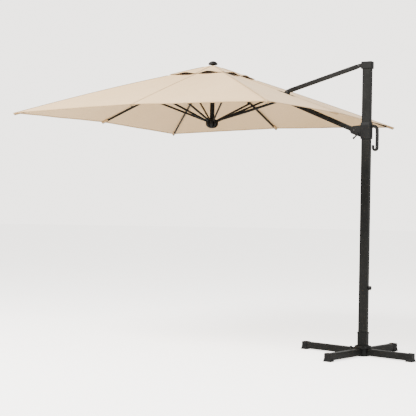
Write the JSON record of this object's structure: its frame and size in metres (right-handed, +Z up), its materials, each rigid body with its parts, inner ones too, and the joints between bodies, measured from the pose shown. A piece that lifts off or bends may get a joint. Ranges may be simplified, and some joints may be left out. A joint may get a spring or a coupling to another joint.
{
  "type": "cantilever parasol",
  "caption": "Square cantilever parasol hung from a side mast: braced arm on a slider, folding ribs and struts, vented cloth canopy, turning mast on a cross base.",
  "frame": {"origin": "on the floor under the mast axis", "axes": "+Z up, -X from the mast towards the canopy, +X the side of the pull handle"},
  "size_m": [3.2286, 2.5, 2.529],
  "materials": {
    "charcoal_steel": "powder coat",
    "charcoal_aluminium": "powder coat",
    "black_plastic": "moulded",
    "steel": "brushed",
    "canopy_cloth": "woven",
    "vent_cloth": "woven"
  },
  "bodies": {
    "base": {"centre_block": "black_plastic", "cross_beam_far": "charcoal_steel", "cross_beam_long": "charcoal_steel", "cross_beam_near": "charcoal_steel", "disc_bolt_1": "steel", "disc_bolt_2": "steel", "disc_bolt_3": "steel", "disc_bolt_4": "steel", "foot_cap_far": "black_plastic", "foot_cap_left": "black_plastic", "foot_cap_near": "black_plastic", "foot_cap_right": "black_plastic", "swivel_disc_lower": "charcoal_steel"},
    "lock_knob_body": {"lock_knob": "black_plastic"},
    "mast": {"swivel_disc_upper": "charcoal_steel", "mast_socket": "charcoal_steel", "mast_lower": "charcoal_aluminium", "mast_upper": "charcoal_aluminium", "joint_sleeve": "charcoal_aluminium", "mast_cap": "black_plastic", "stay_pin": "steel"},
    "mast_knob_body": {"mast_knob": "black_plastic"},
    "slider": {"slider_collar": "black_plastic", "slider_liner": "black_plastic", "pull_handle": "black_plastic", "ear_bolt_near": "steel", "ear_bolt_far": "steel"},
    "lever": {"lock_lever": "black_plastic"},
    "stay": {"stay_tube": "charcoal_aluminium", "stay_end_upper": "black_plastic", "stay_end_lower": "black_plastic"},
    "arm": {"arm_tube": "charcoal_aluminium", "arm_end_lower": "black_plastic", "arm_end_upper": "black_plastic", "stay_bracket": "black_plastic", "link_pin": "steel", "arm_hanger": "black_plastic", "short_rib": "charcoal_aluminium"},
    "arm_strut_body": {"arm_strut": "charcoal_aluminium"},
    "head": {"top_hub": "black_plastic", "head_pin": "steel", "finial": "black_plastic", "canopy": "canopy_cloth", "vent_cap": "vent_cloth"},
    "lower_hub_body": {"lower_hub": "black_plastic", "centre_post": "charcoal_aluminium"},
    "rib_left_body": {"rib_left": "charcoal_aluminium"},
    "strut_left_body": {"strut_left": "charcoal_aluminium"},
    "rib_near_body": {"rib_near": "charcoal_aluminium"},
    "strut_near_body": {"strut_near": "charcoal_aluminium"},
    "rib_right_body": {"rib_right": "charcoal_aluminium"},
    "strut_right_body": {"strut_right": "charcoal_aluminium"},
    "rib_far_body": {"rib_far": "charcoal_aluminium"},
    "strut_far_body": {"strut_far": "charcoal_aluminium"},
    "rib_front_body": {"rib_front": "charcoal_aluminium"},
    "strut_front_body": {"strut_front": "charcoal_aluminium"},
    "rib_side_body": {"rib_side": "charcoal_aluminium"},
    "strut_side_body": {"strut_side": "charcoal_aluminium"},
    "rib_back_body": {"rib_back": "charcoal_aluminium"},
    "strut_back_body": {"strut_back": "charcoal_aluminium"}
  },
  "joints": [
    {"name": "mast_swivel", "type": "hinge", "parent": "base", "child": "mast", "pos_m": [0, 0, 0.08], "axis": [0, 0, 1], "continuous": true},
    {"name": "lock_knob_pull", "type": "slide", "parent": "base", "child": "lock_knob_body", "axis": [-0.7071, -0.7071, 0], "range_m": [0, 0.008], "stiffness_N_per_m": 600, "springref_m": -0.004},
    {"name": "mast_knob_turn", "type": "hinge", "parent": "mast", "child": "mast_knob_body", "pos_m": [0.0375, 0, 0.563], "axis": [1, 0, 0], "range_deg": [0, 360]},
    {"name": "canopy_fold", "type": "hinge", "parent": "mast", "child": "stay", "pos_m": [-0.072, 0, 2.403], "axis": [0, -1, 0], "range_deg": [0, 71.73], "deforming": ["canopy", "vent_cap"]},
    {"name": "arm_on_stay", "type": "hinge", "parent": "stay", "child": "arm", "pos_m": [-0.735, 0, 2.222], "axis": [0, 1, 0], "range_deg": [0, 132.22]},
    {"name": "head_on_arm", "type": "hinge", "parent": "arm", "child": "head", "pos_m": [-1.447, 0, 2.437], "axis": [0, -1, 0], "range_deg": [0, 60.46]},
    {"name": "arm_strut_fold", "type": "hinge", "parent": "arm", "child": "arm_strut_body", "pos_m": [-0.83544, 0, 2.13751], "axis": [0, -1, 0], "range_deg": [0, 132.23]},
    {"name": "slider_drop", "type": "slide", "parent": "mast", "child": "slider", "axis": [0, 0, -1], "range_m": [0, 0.87431]},
    {"name": "lever_lift", "type": "hinge", "parent": "slider", "child": "lever", "pos_m": [-0.065, -0.0316, 1.832], "axis": [0, 1, 0], "range_deg": [0, 40]},
    {"name": "hub_drop", "type": "slide", "parent": "head", "child": "lower_hub_body", "axis": [0, 0, -1], "range_m": [0, 0.8642]},
    {"name": "rib_left_fold", "type": "hinge", "parent": "head", "child": "rib_left_body", "pos_m": [-1.53182, -0.03182, 2.437], "axis": [0.7071, -0.7071, 0], "range_deg": [0, 73.56]},
    {"name": "strut_left_fold", "type": "hinge", "parent": "rib_left_body", "child": "strut_left_body", "pos_m": [-1.96669, -0.46669, 2.27916], "axis": [-0.7071, 0.7071, 0], "range_deg": [0, 136.08]},
    {"name": "rib_near_fold", "type": "hinge", "parent": "head", "child": "rib_near_body", "pos_m": [-1.46818, -0.03182, 2.437], "axis": [0.7071, 0.7071, 0], "range_deg": [0, 73.55]},
    {"name": "strut_near_fold", "type": "hinge", "parent": "rib_near_body", "child": "strut_near_body", "pos_m": [-1.0329, -0.4671, 2.26989], "axis": [-0.7071, -0.7071, 0], "range_deg": [0, 137.52]},
    {"name": "rib_right_fold", "type": "hinge", "parent": "head", "child": "rib_right_body", "pos_m": [-1.46818, 0.03182, 2.437], "axis": [-0.7071, 0.7071, 0], "range_deg": [0, 73.55]},
    {"name": "strut_right_fold", "type": "hinge", "parent": "rib_right_body", "child": "strut_right_body", "pos_m": [-1.0329, 0.4671, 2.26989], "axis": [0.7071, -0.7071, 0], "range_deg": [0, 137.52]},
    {"name": "rib_far_fold", "type": "hinge", "parent": "head", "child": "rib_far_body", "pos_m": [-1.53182, 0.03182, 2.437], "axis": [-0.7071, -0.7071, 0], "range_deg": [0, 73.56]},
    {"name": "strut_far_fold", "type": "hinge", "parent": "rib_far_body", "child": "strut_far_body", "pos_m": [-1.96669, 0.46669, 2.27916], "axis": [0.7071, 0.7071, 0], "range_deg": [0, 136.08]},
    {"name": "rib_front_fold", "type": "hinge", "parent": "head", "child": "rib_front_body", "pos_m": [-1.5, -0.045, 2.437], "axis": [1, 0, 0], "range_deg": [0, 68.68]},
    {"name": "strut_front_fold", "type": "hinge", "parent": "rib_front_body", "child": "strut_front_body", "pos_m": [-1.5, -0.66291, 2.20418], "axis": [-1, 0, 0], "range_deg": [0, 138.47]},
    {"name": "rib_side_fold", "type": "hinge", "parent": "head", "child": "rib_side_body", "pos_m": [-1.545, 0, 2.437], "axis": [0, -1, 0], "range_deg": [0, 68.68]},
    {"name": "strut_side_fold", "type": "hinge", "parent": "rib_side_body", "child": "strut_side_body", "pos_m": [-2.16297, 0, 2.20693], "axis": [0, 1, 0], "range_deg": [0, 138.03]},
    {"name": "rib_back_fold", "type": "hinge", "parent": "head", "child": "rib_back_body", "pos_m": [-1.5, 0.045, 2.437], "axis": [-1, 0, 0], "range_deg": [0, 68.68]},
    {"name": "strut_back_fold", "type": "hinge", "parent": "rib_back_body", "child": "strut_back_body", "pos_m": [-1.5, 0.66291, 2.20418], "axis": [1, 0, 0], "range_deg": [0, 138.47]}
  ],
  "couplings": [
    {"joint": "arm_on_stay", "follows": "canopy_fold", "ratio": 1.8425},
    {"joint": "head_on_arm", "follows": "canopy_fold", "ratio": 0.8425},
    {"joint": "arm_strut_fold", "follows": "canopy_fold", "ratio": 1.8426},
    {"joint": "slider_drop", "follows": "canopy_fold", "m_per_rad": 0.69809},
    {"joint": "hub_drop", "follows": "canopy_fold", "m_per_rad": 0.69002},
    {"joint": "rib_left_fold", "follows": "canopy_fold", "ratio": 1.025},
    {"joint": "strut_left_fold", "follows": "canopy_fold", "ratio": 1.8964},
    {"joint": "rib_near_fold", "follows": "canopy_fold", "ratio": 1.0249},
    {"joint": "strut_near_fold", "follows": "canopy_fold", "ratio": 1.9165},
    {"joint": "rib_right_fold", "follows": "canopy_fold", "ratio": 1.0249},
    {"joint": "strut_right_fold", "follows": "canopy_fold", "ratio": 1.9165},
    {"joint": "rib_far_fold", "follows": "canopy_fold", "ratio": 1.025},
    {"joint": "strut_far_fold", "follows": "canopy_fold", "ratio": 1.8964},
    {"joint": "rib_front_fold", "follows": "canopy_fold", "ratio": 0.95707},
    {"joint": "strut_front_fold", "follows": "canopy_fold", "ratio": 1.9296},
    {"joint": "rib_side_fold", "follows": "canopy_fold", "ratio": 0.95712},
    {"joint": "strut_side_fold", "follows": "canopy_fold", "ratio": 1.9235},
    {"joint": "rib_back_fold", "follows": "canopy_fold", "ratio": 0.95707},
    {"joint": "strut_back_fold", "follows": "canopy_fold", "ratio": 1.9296}
  ]
}
